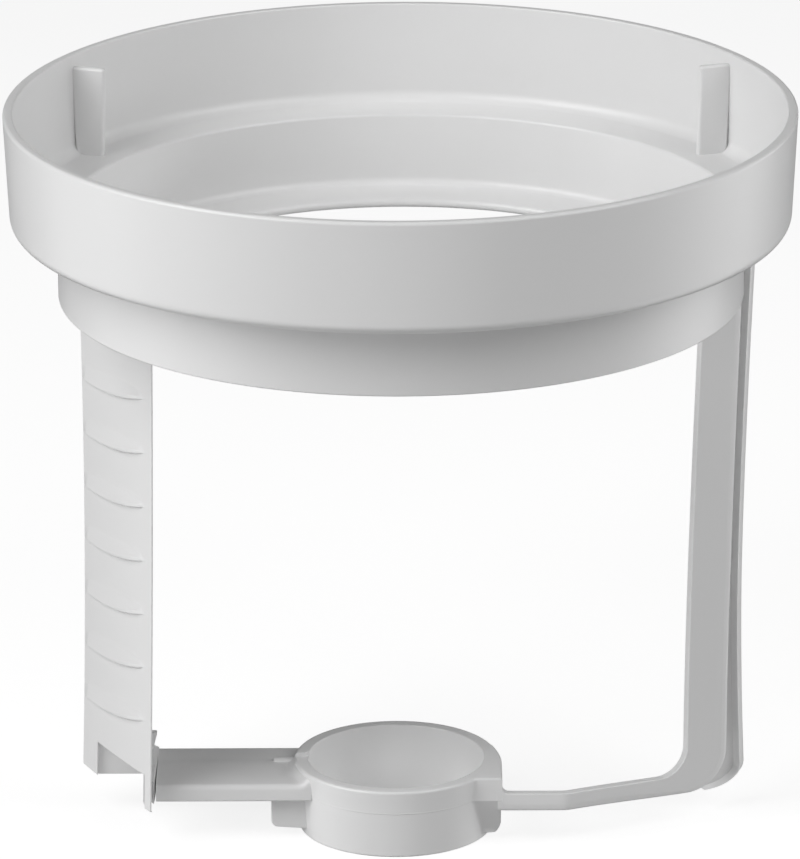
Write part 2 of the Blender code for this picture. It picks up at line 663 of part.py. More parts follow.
rim = rim_ring()
throat = throat_ring()
tray = tray_space()
left_rib = stop_rib("left_stop_rib", -1, tray, rim)
right_rib = stop_rib("right_stop_rib", 1, tray, rim)
guide = guide_ring()
skirt = guide_skirt()
panel = toothed_leg(throat)
cheek = leg_cheek()
arm = wide_arm(guide)
gusset = arm_gusset(arm)
strap = thin_arm(guide)
channel = channel_leg(throat)

for solid in (rim, throat, left_rib, right_rib, guide, skirt, panel, cheek, arm, gusset, strap, channel):
    as_part(solid, PLASTIC_GREY)
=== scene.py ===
"""Looks of the stepped funnel ring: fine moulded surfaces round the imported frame, and a pale studio.

Shapes are worked out in millimetres, in the row frame: +Z up, -Y to the front, origin on the
axis of the large ring. Heights and widths come from the CAD nodes' boxes.
"""

import math

import bmesh
import bpy
from mathutils import Matrix, Vector


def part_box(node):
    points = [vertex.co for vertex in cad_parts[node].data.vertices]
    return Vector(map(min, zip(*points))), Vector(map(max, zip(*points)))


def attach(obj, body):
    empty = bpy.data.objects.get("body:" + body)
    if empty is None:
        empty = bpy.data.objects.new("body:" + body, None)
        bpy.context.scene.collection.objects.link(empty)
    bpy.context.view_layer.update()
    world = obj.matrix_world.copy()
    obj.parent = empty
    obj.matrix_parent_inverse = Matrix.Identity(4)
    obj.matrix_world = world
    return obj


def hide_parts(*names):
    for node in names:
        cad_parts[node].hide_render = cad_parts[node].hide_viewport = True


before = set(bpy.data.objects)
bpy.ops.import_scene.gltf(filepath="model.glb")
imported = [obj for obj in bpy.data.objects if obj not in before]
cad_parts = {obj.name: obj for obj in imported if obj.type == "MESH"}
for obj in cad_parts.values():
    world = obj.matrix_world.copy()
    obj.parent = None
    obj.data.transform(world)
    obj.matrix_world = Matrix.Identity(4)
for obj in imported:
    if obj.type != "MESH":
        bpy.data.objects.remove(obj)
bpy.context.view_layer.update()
MM = 0.001


def cad(node):
    """(lowest corner, highest corner) of a CAD node in millimetres."""
    low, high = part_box(node)
    return low / MM, high / MM


# Places read from the frame
RIM_LOW, RIM_HIGH = cad("rim_ring")
THROAT_LOW, THROAT_HIGH = cad("throat_ring")
GUIDE_LOW, GUIDE_HIGH = cad("guide_ring")
ARM_LOW, ARM_HIGH = cad("wide_arm")
STRAP_LOW = cad("thin_arm")[0]
CHEEK_LOW, CHEEK_HIGH = cad("leg_cheek")
GUSSET_LOW, GUSSET_HIGH = cad("arm_gusset")
PANEL_LOW = cad("toothed_leg")[0]
RIB_HIGH = cad("left_stop_rib")[1]

WALL = 2.5

# Large ring
RIM_RADIUS = RIM_HIGH.x
RIM_TOP = RIM_HIGH.z
LEDGE_UNDER = RIM_LOW.z
LEDGE_TOP = LEDGE_UNDER + WALL
LIP_UNDER = THROAT_LOW.z
LIP_TOP = LIP_UNDER + WALL
THROAT_OUTER = THROAT_HIGH.x
THROAT_WALL = 2.3
THROAT_INNER = THROAT_OUTER - THROAT_WALL
HOLE_RADIUS = 71.0
TRAY_RADIUS = RIM_RADIUS - WALL
RIM_TAPER = 1.25
TRAY_FILLET = 3.0
THROAT_FILLET = 2.0
LEDGE_EDGE = 0.8
RIM_FOOT_ROUND = 2.8
THROAT_FOOT_ROUND = 0.5
RIM_EDGE_OUTER = 0.9
RIM_EDGE_INNER = 0.5
RING_STEPS = 288

# Stop ribs; in the tables, -1 is the left one and 1 the right one
RIB_ANGLE = math.radians(17.0)
RIB_ROOT = {-1: (-84.6, 48.9), 1: (85.1, 47.9)}
RIB_TOP = {-1: RIB_HIGH.z + 0.8, 1: RIB_HIGH.z + 1.2}
RIB_REACH = {-1: (8.15, 8.8), 1: (8.8, 8.2)}  # at its foot and at its top
RIB_STARTS = (0.7, -0.4)  # hidden in the wall, at its foot and at its top
RIB_THICK = 2.0
RIB_BURIED = 1.2
RIB_EDGE = 0.85

# Toothed panel
PANEL_BACK = Vector((-83.5, 15.3))
PANEL_FRONT = Vector((-64.95, -20.0))
PANEL_BULGE = 0.6
PANEL_FOOT = PANEL_LOW.z - 0.3
PANEL_BACK_LEAN = (4.6, 3.5)  # straight part of the lean, and the bow taken off it
PANEL_FRONT_LEAN = (3.2, 1.1)
PANEL_EDGE = 0.4
PANEL_END_SETBACK = 5.04
NOTCH_X = (-79.1, -66.3)
NOTCH_SPLAY = 0.3
NOTCH_TOP = 19.8
TOOTH_COUNT = 7
TOOTH_FIRST = 30.1
TOOTH_PITCH = 14.45
TOOTH_REACH = 0.89
TOOTH_FADE = 0.05
TOOTH_STEP = 1.5
TOOTH_BACK_SHARE = 0.34
TOOTH_SWEEP = 4.5  # how far a tooth's lower edge climbs towards the front
RAMP_HEIGHT = 2.9
RAMP_SWEEP = 2.55
TOOTH_LINE = 0.16  # depth of the fine line under a tooth

# Arms and guide ring
GUIDE_CENTRE = (GUIDE_LOW.x + GUIDE_HIGH.y, 0.0)
GUIDE_OUTER_TOP = GUIDE_HIGH.y
GUIDE_OUTER_SPLIT = GUIDE_OUTER_TOP - 0.5
GUIDE_OUTER_FOOT = GUIDE_OUTER_TOP - 1.1
GUIDE_INNER = GUIDE_OUTER_TOP - 3.5
GUIDE_TOP = GUIDE_HIGH.z
GUIDE_SPLIT = GUIDE_LOW.z
BOSS_RIGHT = 25.5
BOSS_FRONT = -16.5
BOSS_TURN = 0.9
BOSS_CORNER = 1.6
BOSS_BLEND = 0.9  # softness of the join between the boss and the round ring
BOSS_SKIRT_INSET = 0.35
BOSS_FRONT_FADE = 4.2  # how far the boss's front has gone back at its foot
BOSS_SIDE_FADE = 5.6
BOSS_SIDE_HEIGHT = 5.4
GROOVE_HALF = 2.5
GROOVE_FLARE = 0.9
GROOVE_DEPTH = 0.85
ARM_TOP = ARM_HIGH.z - 3.8
ARM_UNDER = ARM_LOW.z + 0.4
ARM_HALF_WIDTH = ARM_HIGH.y
ARM_END = -63.6
ARM_CREASE_Y = 4.5
ARM_CREASE_DROP = 0.18
ARM_FRONT_ROUND = 1.5
ARM_BACK_ROUND = 0.4
ARM_FOOT_ROUND = 0.5
ARM_FILLET = 2.4
ARM_FILLET_RISE = 1.8
ARM_BURIED = 0.45
ARM_CAP_HALF = 12.0
BEAD_X = (-33.9, -27.0)
BEAD_HALF = 1.6
BEAD_RISE = 0.9
BEAD_SUNK = 0.1
# (x, y, top height) round a low wall at the arm's end, behind the panel
ARM_WALL = (
    (ARM_END - 0.35, -ARM_HALF_WIDTH + 0.6, ARM_TOP + 0.15),
    (ARM_END + 0.1, ARM_HALF_WIDTH - 0.1, ARM_TOP + 0.15),
    (-68.0, ARM_HALF_WIDTH - 0.1, ARM_TOP + 2.6),
    (-66.0, -1.8, ARM_TOP + 1.6),
    (-66.0, -ARM_HALF_WIDTH + 0.6, ARM_TOP + 1.6),
)
TONGUE_FRONT = 8.3
TONGUE_TOP = 19.7
TONGUE_RIGHT = -66.6
TONGUE_FOOT = ARM_UNDER - 0.75
GUSSET_CORNER = 1.6
GUSSET_EDGE = 0.7

# Cheek: (x, height) outline of its plate, the plate's (y, inset) rows, and the block in front
CHEEK_TOP = CHEEK_HIGH.z + 0.4
CHEEK_OUTLINE = (
    (CHEEK_LOW.x, ARM_UNDER), (-64.3, ARM_UNDER), (-64.9, ARM_TOP), (-65.0, CHEEK_TOP - 6.5),
    (-63.45, CHEEK_TOP - 0.3), (-63.6, CHEEK_TOP), (CHEEK_LOW.x, CHEEK_TOP),
)
CHEEK_ROWS = ((-2.4, 0.12), (-2.3, 0.0), (-0.2, 0.0), (-0.1, 0.12))
CHEEK_BLOCK = (
    (-64.1, CHEEK_LOW.y), (-63.9, -2.0), (CHEEK_LOW.x, -2.0), (CHEEK_LOW.x, CHEEK_LOW.y + 4.4),
)
CHEEK_BLOCK_TOP = ARM_TOP + 1.2

# Strap
STRAP_TOP = 14.02
STRAP_TOP_DROP = 0.75
STRAP_UNDER_DROP = 1.0
STRAP_DROP_LENGTH = 40.0
STRAP_FILLET = 1.6
STRAP_BURIED = 1.2
STRAP_UNDER = STRAP_LOW.z - 0.18
STRAP_THICK = 2.3

# Channel leg, in its own plane: along from the bend, deep behind the front face
BEND = Vector((42.25, BOSS_FRONT))
BEND_ANGLE = math.radians(25.0)
BEND_SOFTNESS = 3.0
LEG_INNER = 34.45
LEG_OUTER = 46.1
INNER_CORNER = 7.8
OUTER_CORNER = 11.0
LEG_SPREAD = 3.3
LEG_SPREAD_FOOT = 23.0  # height where the leg starts to spread
LEG_SPREAD_HEIGHT = 122.0
INNER_SPREAD = 1.15  # the inner edge's share of the spread
STRAP_SPLIT = 16.0
BACK_OFFSET = 8.2
BACK_EDGE = 54.4
BACK_WAIST = 60.0  # height where the back flange is narrowest
BACK_TOP_FLARE = 2.9
BACK_FOOT_FLARE = 0.9
BACK_FLARE_HEIGHTS = (87.0, 43.0)  # above and below the waist
BACK_FOOT = 5.75
BACK_CORNER = (10.0, 5.3)  # length and height of the rounded foot corner
WEB_AT = 40.6
WEB_THICK = 2.0
WEB_FOOT = 14.0


# ---------------------------------------------------------------- mesh tools

def smoothstep(value):
    """0 below 0, 1 above 1, and smooth between."""
    value = min(max(value, 0.0), 1.0)
    return value * value * (3 - 2 * value)


def spread(start, end, count):
    """count + 1 even values from start to end."""
    return [start + (end - start) * index / count for index in range(count + 1)]


def arc(centre, radius, start, end, count=8):
    """Points of a rounding, from one angle to another in degrees."""
    points = []
    for degrees in spread(start, end, count):
        angle = math.radians(degrees)
        points.append((centre[0] + radius * math.cos(angle), centre[1] + radius * math.sin(angle)))
    return points


def skin(shape, rings, around=False):
    """Adds a closed skin through rows of points; it goes all the way round, or is capped."""
    rows = [[shape.verts.new(Vector(point) * MM) for point in ring] for ring in rings]
    following = rows[1:] + rows[:1] if around else rows[1:]
    for near, far in zip(rows, following):
        for index in range(len(near)):
            other = (index + 1) % len(near)
            shape.faces.new((near[index], near[other], far[other], far[index]))
    if not around:
        shape.faces.new(rows[0][::-1])
        shape.faces.new(rows[-1])


def prism(shape, plan, low, high, edge, segments=5):
    """Adds an upright prism on a plan outline, with every edge rounded."""
    foot = [shape.verts.new(Vector((x, y, low)) * MM) for x, y in plan]
    head = [shape.verts.new(Vector((x, y, high)) * MM) for x, y in plan]
    faces = [shape.faces.new(foot[::-1]), shape.faces.new(head)]
    for index in range(len(plan)):
        other = (index + 1) % len(plan)
        faces.append(shape.faces.new((foot[index], foot[other], head[other], head[index])))
    edges = {line for face in faces for line in face.edges}
    bmesh.ops.recalc_face_normals(shape, faces=faces)
    bmesh.ops.bevel(
        shape, geom=list(edges), offset=edge * MM, segments=segments, profile=0.5, affect="EDGES"
    )


def piece(name, shape, node, slot, sharp=38.0):
    """Turns a finished bmesh into a piece that stands for a CAD node."""
    bmesh.ops.remove_doubles(shape, verts=shape.verts, dist=1e-7)
    bmesh.ops.recalc_face_normals(shape, faces=shape.faces)
    mesh = bpy.data.meshes.new(name)
    shape.to_mesh(mesh)
    shape.free()
    mesh.materials.append(PLASTICS[slot])
    mesh.shade_smooth()
    mesh.set_sharp_from_angle(angle=math.radians(sharp))
    obj = bpy.data.objects.new(name, mesh)
    bpy.context.scene.collection.objects.link(obj)
    shading = obj.modifiers.new("even shading", "WEIGHTED_NORMAL")
    shading.keep_sharp = True
    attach(obj, "root")
    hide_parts(node)
    return obj


# ---------------------------------------------------------------- material

def moulded_plastic(name, grey, roughness):
    """Soft-gloss moulded plastic: a faint tone drift, an uneven gloss and a fine orange-peel bump."""
    made = bpy.data.materials.new(name)
    made.use_nodes = True
    nodes = made.node_tree.nodes
    link = made.node_tree.links.new
    shader = nodes["Principled BSDF"]
    shader.inputs["Metallic"].default_value = 0.0
    shader.inputs["IOR"].default_value = 1.5
    place = nodes.new("ShaderNodeTexCoord")

    drift = nodes.new("ShaderNodeTexNoise")
    drift.inputs["Scale"].default_value = 9.0
    drift.inputs["Detail"].default_value = 3.0
    link(place.outputs["Object"], drift.inputs["Vector"])
    tone = nodes.new("ShaderNodeValToRGB")
    tone.color_ramp.elements[0].position = 0.3
    tone.color_ramp.elements[1].position = 0.7
    tone.color_ramp.elements[0].color = (grey * 0.985, grey * 0.985, grey * 0.985, 1.0)
    tone.color_ramp.elements[1].color = (grey * 1.01, grey * 1.01, grey * 1.01, 1.0)
    link(drift.outputs["Fac"], tone.inputs["Fac"])
    link(tone.outputs["Color"], shader.inputs["Base Color"])

    wear = nodes.new("ShaderNodeTexNoise")
    wear.inputs["Scale"].default_value = 42.0
    wear.inputs["Detail"].default_value = 4.0
    link(place.outputs["Object"], wear.inputs["Vector"])
    gloss = nodes.new("ShaderNodeMapRange")
    gloss.inputs["To Min"].default_value = roughness * 0.86
    gloss.inputs["To Max"].default_value = roughness * 1.16
    link(wear.outputs["Fac"], gloss.inputs["Value"])
    link(gloss.outputs["Result"], shader.inputs["Roughness"])

    peel = nodes.new("ShaderNodeTexNoise")
    peel.inputs["Scale"].default_value = 520.0
    peel.inputs["Detail"].default_value = 2.0
    link(place.outputs["Object"], peel.inputs["Vector"])
    bump = nodes.new("ShaderNodeBump")
    bump.inputs["Strength"].default_value = 0.06
    bump.inputs["Distance"].default_value = 0.0002
    link(peel.outputs["Fac"], bump.inputs["Height"])
    link(bump.outputs["Normal"], shader.inputs["Normal"])
    return made


PLASTICS = {
    "ring_plastic": moulded_plastic("ring_plastic", 0.82, 0.3),
    "frame_plastic": moulded_plastic("frame_plastic", 0.80, 0.32),
}


# ---------------------------------------------------------------- large ring

def turned(name, profile, node):
    """A piece turned from a closed (radius, height) profile about the large ring's axis."""
    rings = []
    for index in range(RING_STEPS):
        angle = math.tau * index / RING_STEPS
        rings.append([(r * math.cos(angle), r * math.sin(angle), z) for r, z in profile])
    shape = bmesh.new()
    skin(shape, rings, around=True)
    return piece(name, shape, node, "ring_plastic")


def rim_ring():
    """Tall outer wall with a softened rim, a round foot and the ledge turned in to the throat."""
    foot = RIM_RADIUS - RIM_TAPER
    inner, outer = RIM_EDGE_INNER, RIM_EDGE_OUTER
    profile = arc((TRAY_RADIUS + inner, RIM_TOP - inner), inner, 180, 90)
    profile += arc((RIM_RADIUS - outer, RIM_TOP - outer), outer, 90, 0)
    profile += arc((foot - RIM_FOOT_ROUND, LEDGE_UNDER + RIM_FOOT_ROUND), RIM_FOOT_ROUND, 0, -90)
    profile += [(THROAT_OUTER, LEDGE_UNDER), (THROAT_INNER, LEDGE_UNDER)]
    profile += arc((THROAT_INNER + LEDGE_EDGE, LEDGE_TOP - LEDGE_EDGE), LEDGE_EDGE, 180, 90)
    profile += arc((TRAY_RADIUS - TRAY_FILLET, LEDGE_TOP + TRAY_FILLET), TRAY_FILLET, -90, 0)
    return turned("rim_ring_shell", profile, "rim_ring")


def throat_ring():
    """Straight wall under the ledge, turned in to a flat lip round the open hole."""
    foot = THROAT_FOOT_ROUND
    half = WALL / 2
    profile = [(THROAT_INNER, LEDGE_UNDER), (THROAT_OUTER, LEDGE_UNDER)]
    profile += arc((THROAT_OUTER - foot, LIP_UNDER + foot), foot, 0, -90)
    profile += arc((HOLE_RADIUS + half, LIP_UNDER + half), half, 270, 90, 12)
    profile += arc((THROAT_INNER - THROAT_FILLET, LIP_TOP + THROAT_FILLET), THROAT_FILLET, -90, 0)
    return turned("throat_ring_shell", profile, "throat_ring")


def stop_rib(name, side):
    """Upright stop growing out of the tray's wall; side is -1 or +1."""
    inward = Vector((-side * math.cos(RIB_ANGLE), -math.sin(RIB_ANGLE)))
    backward = Vector((-side * math.sin(RIB_ANGLE), math.cos(RIB_ANGLE)))
    levels = []
    heights = (LEDGE_TOP - RIB_BURIED, RIB_TOP[side])
    for z, start, reach in zip(heights, RIB_STARTS, RIB_REACH[side]):
        corners = ((start, 0.0), (reach, 0.0), (reach, RIB_THICK), (start, RIB_THICK))
        plan = [Vector(RIB_ROOT[side]) + inward * along + backward * deep for along, deep in corners]
        levels.append([(place.x, place.y, z) for place in plan])
    shape = bmesh.new()
    skin(shape, levels)
    bmesh.ops.recalc_face_normals(shape, faces=shape.faces)
    bmesh.ops.bevel(
        shape, geom=list(shape.edges), offset=RIB_EDGE * MM, segments=7, profile=0.5, affect="EDGES"
    )
    return piece(name + "_fin", shape, name, "ring_plastic")


# ---------------------------------------------------------------- toothed leg

def panel_point(across, proud=0.0):
    """Plan point on the bowed panel: across is 0 at its back edge and 1 at its front edge."""
    chord = PANEL_FRONT - PANEL_BACK
    radius = chord.length_squared / (8 * PANEL_BULGE) + PANEL_BULGE / 2
    normal = Vector((chord.y, -chord.x)).normalized()
    centre = (PANEL_FRONT + PANEL_BACK) / 2 - normal * (radius - PANEL_BULGE)
    start = PANEL_BACK - centre
    end = PANEL_FRONT - centre
    first = math.atan2(start.y, start.x) % math.tau
    last = math.atan2(end.y, end.x) % math.tau
    angle = first + (last - first) * across
    return centre + Vector((math.cos(angle), math.sin(angle))) * (radius + proud)


def tooth_rows(across):
    """(height, proud) of the outer face of the panel at one place across it, upwards."""
    share = min(max(across / TOOTH_REACH, 0.0), 1.0)
    low = TOOTH_SWEEP * share**2.2
    high = RAMP_HEIGHT + RAMP_SWEEP * (1 - (1 - share) ** 2.5)
    fade = smoothstep((TOOTH_REACH + TOOTH_FADE - across) / (2 * TOOTH_FADE))
    growth = TOOTH_BACK_SHARE + (1 - TOOTH_BACK_SHARE) * share**1.1
    growth *= smoothstep((across - 0.01) / 0.07)
    line = TOOTH_LINE * fade
    proud = TOOTH_STEP * growth * (1 - 0.7 * share**8) * fade
    soft = max(proud, 0.1) * (0.8 + 0.9 * share**4)
    rows = []
    for index in range(TOOTH_COUNT):
        foot = TOOTH_FIRST + TOOTH_PITCH * index
        rows += [
            (foot + low - soft * 0.5 - 0.12, 0.0),  # the plain face below the tooth
            (foot + low - soft * 0.36, -line),  # the fine line
            (foot + low + soft * 0.1, proud * 0.92),  # the step out
            (foot + low + soft * 0.5, proud),  # the tooth's brow
            (foot + low + soft * 0.8, proud * 0.97),
            (foot + low * 0.5 + high * 0.5 + soft * 0.5, proud * 0.5),  # the ramp back in
            (foot + high + soft * 0.5, proud * 0.05),
            (foot + high + soft * 0.5 + 0.5, 0.0),  # the plain face above it
        ]
    return rows


def panel_lean(across, z):
    """How far the panel has moved to the right at a height; its two edges bow differently."""
    share = (z - PANEL_FOOT) / (LIP_UNDER - PANEL_FOOT)
    back = PANEL_BACK_LEAN[0] * share - PANEL_BACK_LEAN[1] * share**2
    front = PANEL_FRONT_LEAN[0] * share - PANEL_FRONT_LEAN[1] * share**2
    return back + (front - back) * across


def end_round(distance, edge):
    """How far a face falls back at this distance from a rounded edge."""
    if distance >= edge:
        return 0.0
    return edge - math.sqrt(edge**2 - (edge - distance) ** 2)


def panel_columns(left, right):
    """Places across the panel: close together at its rounded ends and at the notch's sides."""
    length = (PANEL_FRONT - PANEL_BACK).length
    near = [PANEL_EDGE * share / length for share in (0.0, 0.15, 0.38, 0.68, 1.0)]
    places = near + [1 - place for place in near]
    places += [place for place in spread(near[-1], 1 - near[-1], 72) if abs(place - left) > 0.004]
    places = [place for place in places if abs(place - right) > 0.004]
    hair = 0.0008
    places += [left - hair, left + hair, right - hair, right + hair]
    return sorted(set(places))


def toothed_leg():
    """Bowed panel with seven ramp teeth, a notch in its foot and softly rounded ends."""
    chord = PANEL_FRONT - PANEL_BACK
    length = chord.length
    inward = WALL * -chord.y / length
    left, right = ((edge - PANEL_BACK.x) / chord.x for edge in NOTCH_X)
    inner_left = (NOTCH_X[0] + NOTCH_SPLAY - PANEL_BACK.x - inward) / chord.x
    inner_right = (NOTCH_X[1] - PANEL_BACK.x - inward) / chord.x
    inner_end = 1 - PANEL_END_SETBACK / length
    knots = ((0.0, 0.0), (left, inner_left), (right, inner_right), (1.0, inner_end))
    rings = []
    for across in panel_columns(left, right):
        for (start, inner_start), (stop, inner_stop) in zip(knots, knots[1:]):
            if start <= across <= stop:
                inner = inner_start + (inner_stop - inner_start) * (across - start) / (stop - start)
        foot = NOTCH_TOP if left < across < right else PANEL_FOOT
        fall = end_round(min(across, 1 - across) * length, PANEL_EDGE)
        outer = [(foot, -0.3), (foot + 0.1, -0.1), (foot + 0.35, 0.0)]
        outer += tooth_rows(across) + [(LIP_UNDER - 4.0, 0.0), (LIP_UNDER + 0.6, 0.0)]
        ring = [(panel_point(across, proud - fall), z) for z, proud in outer]
        under = [(LIP_UNDER + 0.6, 0.0), (foot + 0.35, 0.0), (foot + 0.1, 0.1), (foot, 0.3)]
        ring += [(panel_point(inner, -WALL + rise + fall), z) for z, rise in under]
        rings.append([(plan.x + panel_lean(across, z), plan.y, z) for plan, z in ring])
    shape = bmesh.new()
    skin(shape, rings)
    return piece("toothed_leg_panel", shape, "toothed_leg", "frame_plastic", 30.0)


def leg_cheek():
    """Small upright plate behind the panel's front edge, wider at its top."""
    shape = bmesh.new()
    skin(shape, [[(x - inset, y, z - inset) for x, z in CHEEK_OUTLINE] for y, inset in CHEEK_ROWS])
    prism(shape, CHEEK_BLOCK, PANEL_FOOT, CHEEK_BLOCK_TOP, 0.2)
    return piece("leg_cheek_plate", shape, "leg_cheek", "frame_plastic")


# ---------------------------------------------------------------- arms

def ring_side(y, radius):
    """X where a circle about the guide ring's axis meets this Y, on the left."""
    return GUIDE_CENTRE[0] - math.sqrt(radius**2 - y**2)


def arm_section():
    """Closed (y, z) outline of the wide arm, with a crease along its top."""
    half = ARM_HALF_WIDTH
    edge, rear, foot = ARM_FRONT_ROUND, ARM_BACK_ROUND, ARM_FOOT_ROUND
    crease = ARM_TOP - ARM_CREASE_DROP
    section = [(-half + edge * (1 - math.sin(a)), ARM_TOP - edge * (1 - math.cos(a)))
               for a in spread(math.pi / 2, 0.0, 8)]
    section += [(y, ARM_TOP) for y in spread(-half + edge, ARM_CREASE_Y - 0.5, 6)[1:]]
    section += [(y, crease) for y in spread(ARM_CREASE_Y, half - rear, 5)]
    section += arc((half - rear, crease - rear), rear, 90, 0, 5)[1:]
    section += arc((half - rear, ARM_UNDER + rear), rear, 0, -90, 4)
    section += arc((-half + foot, ARM_UNDER + foot), foot, -90, -180, 5)
    return section


def wide_arm():
    """Flat arm with a round front edge; it flares into the guide ring and ends behind the panel."""
    shape = bmesh.new()
    rings = []
    section = arm_section()
    for share in (0.0, 0.02, 0.04, 0.06, 0.08, 0.1, 0.13, 0.17, 0.25, 0.4, 0.6, 0.8, 1.0):
        ring = []
        for y, z in section:
            start = ring_side(y, GUIDE_OUTER_TOP) + ARM_BURIED
            x = start + (ARM_END - start) * share
            clear = math.hypot(x - GUIDE_CENTRE[0], y) - GUIDE_OUTER_TOP
            lift = min(end_round(max(clear, 0.0), ARM_FILLET), ARM_FILLET_RISE)
            upper = smoothstep((z - ARM_UNDER) / (ARM_TOP - ARM_UNDER))
            ring.append((x, y, z + lift * upper))
        if not rings:
            # a flat end that stays inside the ring's wall
            cap = GUIDE_CENTRE[0] - GUIDE_INNER - 0.25
            rings.append([(cap, min(max(y, -ARM_CAP_HALF), ARM_CAP_HALF), z) for x, y, z in ring])
        rings.append(ring)
    skin(shape, rings)
    low, high = NOTCH_X[0] - 0.12, TONGUE_RIGHT
    back = ARM_HALF_WIDTH - 0.1
    block = [(high, TONGUE_FRONT), (low, TONGUE_FRONT), (low, back), (high, back)]
    prism(shape, block, TONGUE_FOOT, TONGUE_TOP, 0.15, 3)
    skin(shape, [[(x, y, ARM_UNDER) for x, y, _ in ARM_WALL], ARM_WALL])
    arm_bead(shape)
    return piece("wide_arm_moulding", shape, "wide_arm", "frame_plastic")


def arm_bead(shape):
    """Short raised bead on the arm's crease, pointing at the guide ring's groove."""
    start, end = BEAD_X
    rings = []
    for share in spread(-1.0, 1.0, 14):
        swell = math.sqrt(max(1 - abs(share) ** 6, 0.0004))
        x = (start + end) / 2 + (end - start) / 2 * share
        ring = []
        for degrees in spread(0.0, 330.0, 11):
            angle = math.radians(degrees)
            y = ARM_CREASE_Y + BEAD_HALF * swell * math.cos(angle)
            ring.append((x, y, ARM_TOP - BEAD_SUNK + BEAD_RISE * swell * math.sin(angle)))
        rings.append(ring)
    skin(shape, rings)


def arm_gusset():
    """Block under the wide arm against the guide ring, with a round lower corner."""
    left, low = GUSSET_LOW.x, GUSSET_LOW.z
    half = GUSSET_HIGH.y
    corner, edge = GUSSET_CORNER, GUSSET_EDGE
    right = GUIDE_CENTRE[0] - GUIDE_OUTER_FOOT + 1.4
    outline = [(right, ARM_UNDER + 0.6), (left, ARM_UNDER + 0.6)]
    outline += arc((left + corner, low + corner), corner, 180, 270, 7)
    outline += [(right, low - 0.5)]
    rounding = ((0.0, edge), (0.08, edge * 0.55), (0.25, edge * 0.25), (edge, 0.0))
    stations = [(-half + back, inset) for back, inset in rounding]
    stations += [(half - back, inset) for back, inset in rounding[::-1]]
    shape = bmesh.new()
    rings = []
    for y, inset in stations:
        ring = []
        for x, z in outline:
            if x > left + corner + 0.1:
                along = ring_side(y, GUIDE_OUTER_FOOT - ARM_BURIED)
            else:
                along = x + inset * 0.6
            ring.append((along, y, z + (inset * 0.4 if z < low + corner else 0.0)))
        rings.append(ring)
    skin(shape, rings)
    return piece("arm_gusset_block", shape, "arm_gusset", "frame_plastic")


# ---------------------------------------------------------------- guide ring

def guide_angles():
    """Angles round the guide ring, closer together at the rim groove and at the boss."""
    angles = spread(0.0, 358.75, 287)
    angles += spread(170.0, 190.0, 80)
    angles += spread(316.0, 334.0, 90)
    angles += spread(2.0, 16.0, 42)
    return sorted({round(angle, 3) for angle in angles})


def boss_reach(angle, radius, front, right):
    """Distance to the boss's outline at this angle in degrees, or 0 outside it."""
    turn = math.radians((angle + 180.0) % 360.0 - 180.0)
    across = right - GUIDE_CENTRE[0]
    if turn < math.radians(-80.0) or across <= radius * 1.0001:
        return 0.0
    start = math.atan2(BOSS_TURN, across)
    tangent = start + math.acos(radius / math.hypot(across, BOSS_TURN))
    if turn > tangent:
        return 0.0
    reach = across / math.cos(turn)
    if turn < 0.0:
        reach = min(reach, front / math.sin(turn))
    slant = radius / math.cos(turn - tangent)
    return -soft_larger(-reach, -slant, BOSS_CORNER)


def soft_larger(first, second, softness):
    """The larger of two lengths, blended where they are close."""
    gap = max(softness - abs(first - second), 0.0) / softness
    return max(first, second) + gap * gap * softness * 0.25


def guide_loop(name, node, levels, inner_levels, front_at, right_at):
    """A ring with an outer outline that changes with height, and a round bore."""
    rings = []
    for angle in guide_angles():
        radians = math.radians(angle)
        ring = []
        for z, radius, inset in levels:
            reach = boss_reach(angle, radius, front_at(z), right_at(z))
            outer = soft_larger(radius, reach, BOSS_BLEND) - inset
            ring.append((outer, z))
        ring += list(inner_levels)
        points = []
        for radius, z in ring:
            x = GUIDE_CENTRE[0] + radius * math.cos(radians)
            y = radius * math.sin(radians)
            points.append((x, y, z - groove_drop(x, y, z, radius)))
        rings.append(points)
    shape = bmesh.new()
    skin(shape, rings, around=True)
    return piece(name, shape, node, "frame_plastic", 34.0)


def groove_drop(x, y, z, radius):
    """Depth of the shallow groove across the rim at its left, splayed towards the bore."""
    if x > GUIDE_CENTRE[0] or z < GUIDE_TOP - 1.0:
        return 0.0
    half = GROOVE_HALF + GROOVE_FLARE * smoothstep(GUIDE_INNER + 1.1 - radius)
    return GROOVE_DEPTH * smoothstep((half + 0.15 - abs(y)) / 0.3)


def guide_ring():
    """Upper half of the guide ring, flush with the boss, down to the parting line."""
    edge = 0.7
    levels = []
    for radius_inset, z in arc((edge, GUIDE_TOP - edge), edge, 90, 180, 7):
        levels.append((z, GUIDE_OUTER_TOP, radius_inset))
    levels += [
        (GUIDE_SPLIT + 3.0, GUIDE_OUTER_TOP - 0.25, 0.0),
        (GUIDE_SPLIT + 0.45, GUIDE_OUTER_SPLIT, 0.0),
        (GUIDE_SPLIT + 0.3, GUIDE_OUTER_SPLIT, -0.08),
        (GUIDE_SPLIT + 0.12, GUIDE_OUTER_SPLIT, -0.08),
        (GUIDE_SPLIT, GUIDE_OUTER_SPLIT, 0.02),
    ]
    bore = [(GUIDE_INNER, GUIDE_SPLIT), (GUIDE_INNER, GUIDE_TOP - 3.0), (GUIDE_INNER, GUIDE_TOP - 1.4)]
    bore += arc((GUIDE_INNER + 0.35, GUIDE_TOP - 0.35), 0.35, 180, 90, 6)
    bore += [(GUIDE_INNER + reach, GUIDE_TOP) for reach in (0.7, 1.1, 1.5, 1.9, 2.3)]
    return guide_loop("guide_ring_moulding", "guide_ring", levels, bore,
                      lambda z: BOSS_FRONT, lambda z: BOSS_RIGHT)


